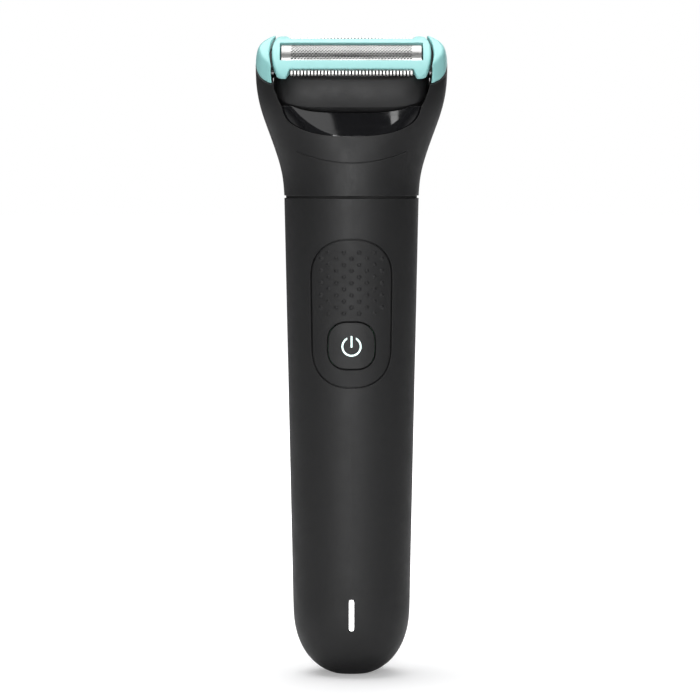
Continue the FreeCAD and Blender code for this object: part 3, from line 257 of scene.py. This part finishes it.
def brushed_metal(name, colour, roughness, along=(0.03, 1, 1)):
    """Ground or drawn metal with fine parallel lines and light stains."""
    shader = Shader(name, colour, roughness, metallic=1.0)
    shader.soften(radius=0.00008)
    lines = shader.noise(scale=3000, detail=3, vector=shader.stretched(along))
    stain = shader.noise(scale=90, detail=5, roughness=0.6)
    ground = shader.combine("ADD", shader.spread(lines, out_low=-0.08, out_high=0.1), roughness)
    stained = shader.between(stain, low=0.45, high=0.75, out_low=0.0, out_high=0.1)
    shader.drive("Roughness", shader.combine("ADD", ground, stained))
    darker = shade(colour, factor=0.82)
    shader.drive("Base Color", shader.blend(shader.between(stain, low=0.4, high=0.75), colour, darker))
    shader.bump(lines, distance=0.000002)
    return shader


def lit(name, colour, strength, falloff):
    """Frosted light window: emission with a soft mottling."""
    shader = Shader(name, colour, roughness=0.35)
    mottle = shader.noise(scale=900, detail=3)
    dim = shade(colour, factor=1 - falloff)
    shader.drive("Emission Color", shader.blend(shader.spread(mottle), dim, colour))
    shader.set("Emission Strength", strength)
    shader.drive("Roughness", shader.spread(mottle, out_low=0.28, out_high=0.42))
    shader.bump(mottle, distance=0.000004)
    return shader


def clear_plastic(name, colour):
    """Clear moulded plastic with faint flow marks."""
    shader = Shader(name, colour, roughness=0.12)
    shader.set("Transmission Weight", 0.85)
    shader.set("IOR", 1.49)
    flow = shader.noise(scale=300, detail=4, distortion=1.5)
    shader.drive("Roughness", shader.spread(flow, out_low=0.06, out_high=0.24))
    shader.drive("Base Color", shader.blend(shader.spread(flow), colour, shade(colour, factor=0.9)))
    shader.bump(flow, distance=0.00001)
    return shader


def circuit_green(name):
    """Solder mask with faint tracks and matte grain."""
    mask, copper = (0.02, 0.13, 0.065), (0.06, 0.26, 0.13)
    shader = Shader(name, mask, roughness=0.4)
    edges = shader.cells(scale=260, feature="DISTANCE_TO_EDGE")
    tracks = shader.between(edges, low=0.02, high=0.05, out_low=1.0, out_high=0.0)
    shader.drive("Base Color", shader.blend(tracks, mask, copper))
    shader.drive("Roughness", shader.spread(shader.noise(scale=2500), out_low=0.3, out_high=0.5))
    shader.bump(tracks, distance=0.00003)
    return shader


UPRIGHT_GRAIN = (1, 1, 0.03)
TOOTH_GRAIN = (1, 0.03, 0.03)

MATERIALS = {
    "soft_black": moulded_plastic("soft_black", (0.009, 0.009, 0.0095), 0.5),
    "pad_black": moulded_plastic(
        "pad_black", (0.008, 0.008, 0.0085), 0.55, grain=0.00002, grain_scale=3400),
    "button_black": moulded_plastic("button_black", (0.009, 0.009, 0.0093), 0.48, edge=0.0003),
    "icon_light": lit("icon_light", (0.76, 0.95, 0.92), 0.85, falloff=0.12),
    "black_rubber": rubber("black_rubber", (0.006, 0.006, 0.006)),
    "gloss_black": gloss_plastic("gloss_black", (0.006, 0.006, 0.007)),
    "drum_grey": moulded_plastic("drum_grey", (0.011, 0.011, 0.0115), 0.5),
    "aqua_plastic": moulded_plastic(
        "aqua_plastic", (0.36, 0.75, 0.735), 0.36, grain=0.000005, edge=0.0003),
    "light_lens": lit("light_lens", (1.0, 1.0, 1.0), 4.0, falloff=0.05),
    "clear_guide": clear_plastic("clear_guide", (0.92, 0.95, 0.97)),
    "board_green": circuit_green("board_green"),
    "chip_black": moulded_plastic("chip_black", (0.03, 0.03, 0.03), 0.55),
    "switch_metal": brushed_metal("switch_metal", (0.6, 0.6, 0.6), 0.35),
    "led_white": moulded_plastic("led_white", (0.9, 0.88, 0.7), 0.3),
    "cell_wrap": moulded_plastic("cell_wrap", (0.05, 0.22, 0.45), 0.25, grain=0.000004),
    "nickel": brushed_metal("nickel", (0.66, 0.63, 0.58), 0.35),
    "inner_plastic": moulded_plastic("inner_plastic", (0.35, 0.36, 0.37), 0.5),
    "screw_steel": brushed_metal("screw_steel", (0.45, 0.45, 0.46), 0.38),
    "motor_steel": brushed_metal("motor_steel", (0.55, 0.55, 0.56), 0.32, along=UPRIGHT_GRAIN),
    "end_cap_plastic": moulded_plastic("end_cap_plastic", (0.6, 0.58, 0.5), 0.5),
    "bearing_brass": brushed_metal("bearing_brass", (0.72, 0.52, 0.22), 0.3),
    "shaft_steel": brushed_metal("shaft_steel", (0.32, 0.32, 0.33), 0.3),
    "socket_steel": brushed_metal("socket_steel", (0.55, 0.55, 0.56), 0.3),
    "spring_steel": brushed_metal("spring_steel", (0.5, 0.5, 0.5), 0.3),
    "foil_steel": brushed_metal("foil_steel", (0.40, 0.397, 0.39), 0.26),
    "comb_steel": brushed_metal("comb_steel", (0.52, 0.515, 0.50), 0.28, along=TOOTH_GRAIN),
    "blade_steel": brushed_metal("blade_steel", (0.10, 0.10, 0.105), 0.4),
}

for node, piece in NODES.items():
    piece.data.materials.clear()
    piece.data.materials.append(MATERIALS[SLOT_OF[node]].material)


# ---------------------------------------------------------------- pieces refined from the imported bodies

def body_of(node):
    return NODE_BODY[node]


def show(name, data):
    """New object with this mesh, light or camera, in the scene."""
    holder = bpy.data.objects.new(name, data)
    bpy.context.scene.collection.objects.link(holder)
    return holder


SMOOTH_FACTOR = 0.5


def settle(piece):
    """Apply every modifier of a piece to its mesh."""
    graph = bpy.context.evaluated_depsgraph_get()
    graph.update()
    mesh = bpy.data.meshes.new_from_object(piece.evaluated_get(graph))
    piece.modifiers.clear()
    old = piece.data
    piece.data = mesh
    bpy.data.meshes.remove(old)


def eased(name, node, voxel, rounds, keep_faces):
    """Moulded copy of a node: all edges and creases eased to a small soft radius."""
    piece = show(name, NODES[node].data.copy())
    remesh = piece.modifiers.new("remesh", "REMESH")
    remesh.mode = "VOXEL"
    remesh.voxel_size = voxel
    remesh.use_smooth_shade = True
    soften = piece.modifiers.new("soften", "SMOOTH")
    soften.factor = SMOOTH_FACTOR
    soften.iterations = rounds
    reduce = piece.modifiers.new("reduce", "DECIMATE")
    reduce.ratio = keep_faces
    settle(piece)
    for face in piece.data.polygons:
        face.use_smooth = True
    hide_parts(node)
    return piece


FACE_TILT = math.radians(38)
HOLE_PITCH = 0.85 * MM
HOLE_ROW = 0.5 * MM
HOLE_ACROSS = 0.29 * MM
HOLE_ALONG = 0.20 * MM
HOLE_SLANT = 0.35
HOLE_CORNER = 0.72
FOIL_EDGE = 1.8 * MM
FOIL_THICKNESS = 0.07 * MM
VERTEX_STEP = 1e-7
# Corners and side middles of a square cell, once round.
CELL_RING = ((-1, -1), (0, -1), (1, -1), (1, 0), (1, 1), (0, 1), (-1, 1), (-1, 0))


def face_frame():
    """Matrix of the shaving face: X along the foil, Y across it to the back, Z out of it."""
    tilt = next(joint for joint in BEHAVIOUR["joints"] if joint["name"] == "head_tilt")
    return Matrix.Translation(tilt["pos_m"]) @ Matrix.Rotation(FACE_TILT, 4, "X")


class FoilNet:
    """Net of faces on the arch of the foil, with a slanted hole in every cell."""

    def __init__(self, points):
        """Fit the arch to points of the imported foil, given in the frame of the shaving face."""
        low, crown = min(p.z for p in points), max(p.z for p in points)
        reach, self.half = max(p.y for p in points), max(p.x for p in points)
        rise = crown - low
        self.radius = (reach ** 2 + rise ** 2) / (2 * rise)
        self.centre = crown - self.radius
        self.widest = math.asin(min(1.0, reach / self.radius))
        self.rows = 2 * round(self.radius * self.widest / HOLE_ROW)
        self.columns = 2 * math.floor((self.half - FOIL_EDGE) / HOLE_PITCH)
        self.field = self.columns * HOLE_PITCH / 2
        self.shape = bmesh.new()
        self.made = {}

    def corner(self, across, row):
        """Vertex at a distance along the foil and a row over its arch, made once."""
        key = round(across / VERTEX_STEP), round(row / VERTEX_STEP)
        if key not in self.made:
            angle = (row / self.rows - 0.5) * 2 * self.widest
            height = self.centre + self.radius * math.cos(angle)
            self.made[key] = self.shape.verts.new((across, self.radius * math.sin(angle), height))
        return self.made[key]

    def add_cell(self, middle, row):
        """Square cell with its slanted hole: eight faces between the two outlines."""
        outer = [self.corner(middle + u * HOLE_PITCH / 2, row + v / 2) for u, v in CELL_RING]
        inner = []
        for u, v in CELL_RING:
            size = 1.0 if u == 0 or v == 0 else HOLE_CORNER
            across = middle + size * (u + v * HOLE_SLANT) * HOLE_ACROSS
            inner.append(self.corner(across, row + size * v * HOLE_ALONG / HOLE_ROW))
        for k in range(len(CELL_RING)):
            following = (k + 1) % len(CELL_RING)
            self.shape.faces.new((outer[k], outer[following], inner[following], inner[k]))

    def add_end(self, side, row, shift):
        """Plain strip from the last hole of a row to the end of the foil."""
        edge = side * (self.field - shift)
        outline = [self.corner(edge, row), self.corner(edge, row + 0.5), self.corner(edge, row + 1)]
        tail = [self.corner(side * self.half, row + 1), self.corner(side * self.half, row)]
        if shift:
            limit = side * self.field
            tail = [self.corner(limit, row + 1), *tail, self.corner(limit, row)]
        self.shape.faces.new(outline + tail)

    def mesh(self, name):
        """All rows, every other one shifted by half a hole, as a mesh."""
        for row in range(self.rows):
            odd = row % 2
            shift = odd * HOLE_PITCH / 2
            for column in range(self.columns - odd):
                self.add_cell(-self.field + (column + 0.5) * HOLE_PITCH + shift, row + 0.5)
            for side in (-1, 1):
                self.add_end(side, row, shift)
        bmesh.ops.recalc_face_normals(self.shape, faces=self.shape.faces)
        mesh = bpy.data.meshes.new(name)
        self.shape.to_mesh(mesh)
        self.shape.free()
        return mesh


def make_foil():
    """Thin arched foil with staggered slanted holes and plain ends."""
    place = face_frame()
    to_face = place.inverted()
    net = FoilNet([to_face @ vertex.co for vertex in NODES["shaving_foil"].data.vertices])
    mesh = net.mesh("perforated_foil")
    mesh.transform(place)
    mesh.materials.append(MATERIALS["foil_steel"].material)
    foil = show("perforated_foil", mesh)
    sheet = foil.modifiers.new("thickness", "SOLIDIFY")
    sheet.thickness = FOIL_THICKNESS
    sheet.offset = -1
    settle(foil)
    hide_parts("shaving_foil")
    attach(foil, body_of("shaving_foil"))


make_foil()
for side in ("left", "right"):
    cap = eased(f"{side}_cap_shell", f"{side}_arm_cap", voxel=0.18 * MM, rounds=90, keep_faces=0.5)
    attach(cap, body_of(f"{side}_arm_cap"))
unit = eased("frame_moulding", "shaving_frame", voxel=0.12 * MM, rounds=6, keep_faces=0.35)
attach(unit, body_of("shaving_frame"))


# ---------------------------------------------------------------- stage, light and camera

FLOOR_RADIUS = 6.0
FLOOR_SEGMENTS = 128
FLOOR_GAP = 0.0001
# Distances from the object between which the floor's painted glow, seen by the lens alone, rises from its
# least to its most.
GLOW_START, GLOW_END = 0.02, 0.35
GLOW_LEAST, GLOW_MOST = 0.3, 1.0
WORLD_TINT = (0.96, 0.98, 1.0, 1)
WORLD_SIDE, WORLD_BACK = 0.012, 0.12
WHITE = (1, 1, 1, 1)
LENS = 170.0
CLIP_START = 0.01
CAMERA_TILT = math.radians(3.5)
CAMERA_TARGET = Vector((-0.0004, 0, 0.0866))
VIEW_WIDTH = 0.18711
MIDDLE = (0, 0, HEIGHT * 0.5)
TOP = (0, 0, HEIGHT)


def stage_material():
    """Pale matte floor with a faint mottling, made whiter with distance by a painted glow that only the
    lens sees.
    """
    shader = Shader("pale_floor", (0.80, 0.80, 0.805), roughness=0.7)
    cloud = shader.noise(scale=6, detail=3)
    shader.drive("Base Color", shader.blend(cloud, (0.79, 0.79, 0.795), (0.81, 0.81, 0.815)))
    shader.drive("Roughness", shader.spread(cloud, out_low=0.65, out_high=0.75))
    shader.set("Specular IOR Level", 0.1)
    shader.set("Emission Color", WHITE)
    reach = shader.node("ShaderNodeVectorMath")
    reach.operation = "LENGTH"
    shader.link(shader.place, reach.inputs[0])
    # Painted glow: emission that grows with distance from the object, for camera rays only.
    glow = shader.between(reach.outputs["Value"], GLOW_START, GLOW_END, GLOW_LEAST, GLOW_MOST)
    rays = shader.node("ShaderNodeLightPath").outputs["Is Camera Ray"]
    shader.drive("Emission Strength", shader.combine("MULTIPLY", glow, rays))
    return shader.material


def make_floor():
    """Wide round floor that the object stands on."""
    shape = bmesh.new()
    bmesh.ops.create_circle(shape, cap_ends=True, segments=FLOOR_SEGMENTS, radius=FLOOR_RADIUS)
    mesh = bpy.data.meshes.new("floor")
    shape.to_mesh(mesh)
    shape.free()
    mesh.materials.append(stage_material())
    floor = show("floor", mesh)
    floor.location.z = cad_low.z - FLOOR_GAP


def aim(holder, target):
    """Turn a light or a camera towards a point."""
    holder.rotation_euler = (Vector(target) - holder.location).to_track_quat("-Z", "Y").to_euler()


def softbox(name, place, target, width, height, power):
    """Rectangular white area light, in watts, aimed at a point."""
    lamp = bpy.data.lights.new(name, "AREA")
    lamp.shape = "RECTANGLE"
    lamp.size = width
    lamp.size_y = height
    lamp.energy = power
    holder = show(name, lamp)
    holder.location = place
    aim(holder, target)


def make_world():
    """White surround for the lens; the object reflects it paler before and behind than beside it."""
    world = bpy.data.worlds.new("studio")
    bpy.context.scene.world = world
    world.use_nodes = True
    tree = world.node_tree
    tree.nodes.clear()
    add, link = tree.nodes.new, tree.links.new
    seen, felt = add("ShaderNodeBackground"), add("ShaderNodeBackground")
    seen.inputs["Color"].default_value = WHITE
    seen.inputs["Strength"].default_value = 1.0
    felt.inputs["Color"].default_value = WORLD_TINT
    parts = add("ShaderNodeSeparateXYZ")
    link(add("ShaderNodeTexCoord").outputs["Generated"], parts.inputs["Vector"])
    depth = add("ShaderNodeMath")
    depth.operation = "ABSOLUTE"
    link(parts.outputs["Y"], depth.inputs[0])
    strength = add("ShaderNodeMapRange")
    strength.inputs["To Min"].default_value = WORLD_SIDE
    strength.inputs["To Max"].default_value = WORLD_BACK
    link(depth.outputs["Value"], strength.inputs["Value"])
    link(strength.outputs["Result"], felt.inputs["Strength"])
    choose = add("ShaderNodeMixShader")
    link(add("ShaderNodeLightPath").outputs["Is Camera Ray"], choose.inputs["Fac"])
    link(felt.outputs["Background"], choose.inputs[1])
    link(seen.outputs["Background"], choose.inputs[2])
    link(choose.outputs["Shader"], add("ShaderNodeOutputWorld").inputs["Surface"])


def make_camera():
    """Long lens a little above the middle of the object."""
    lens = bpy.data.cameras.new("camera")
    lens.lens = LENS
    lens.clip_start = CLIP_START
    distance = VIEW_WIDTH * LENS / lens.sensor_width
    holder = show("camera", lens)
    back = Vector((0, -math.cos(CAMERA_TILT), math.sin(CAMERA_TILT)))
    holder.location = CAMERA_TARGET + back * distance
    aim(holder, CAMERA_TARGET)
    bpy.context.scene.camera = holder


make_camera()
make_world()
make_floor()
softbox("front_box", (-0.05, -1.2, 0.28), MIDDLE, width=0.4, height=0.9, power=7.0)
softbox("top_box", (-0.12, 0.15, 1.0), TOP, width=1.1, height=1.0, power=11.5)
softbox("panel_box", (0.39, -0.45, 0.85), TOP, width=0.75, height=0.5, power=1.2)
softbox("rear_box", (0.4, 1.2, 0.5), MIDDLE, width=0.6, height=0.9, power=2)

bpy.context.scene.view_settings.view_transform = "Standard"
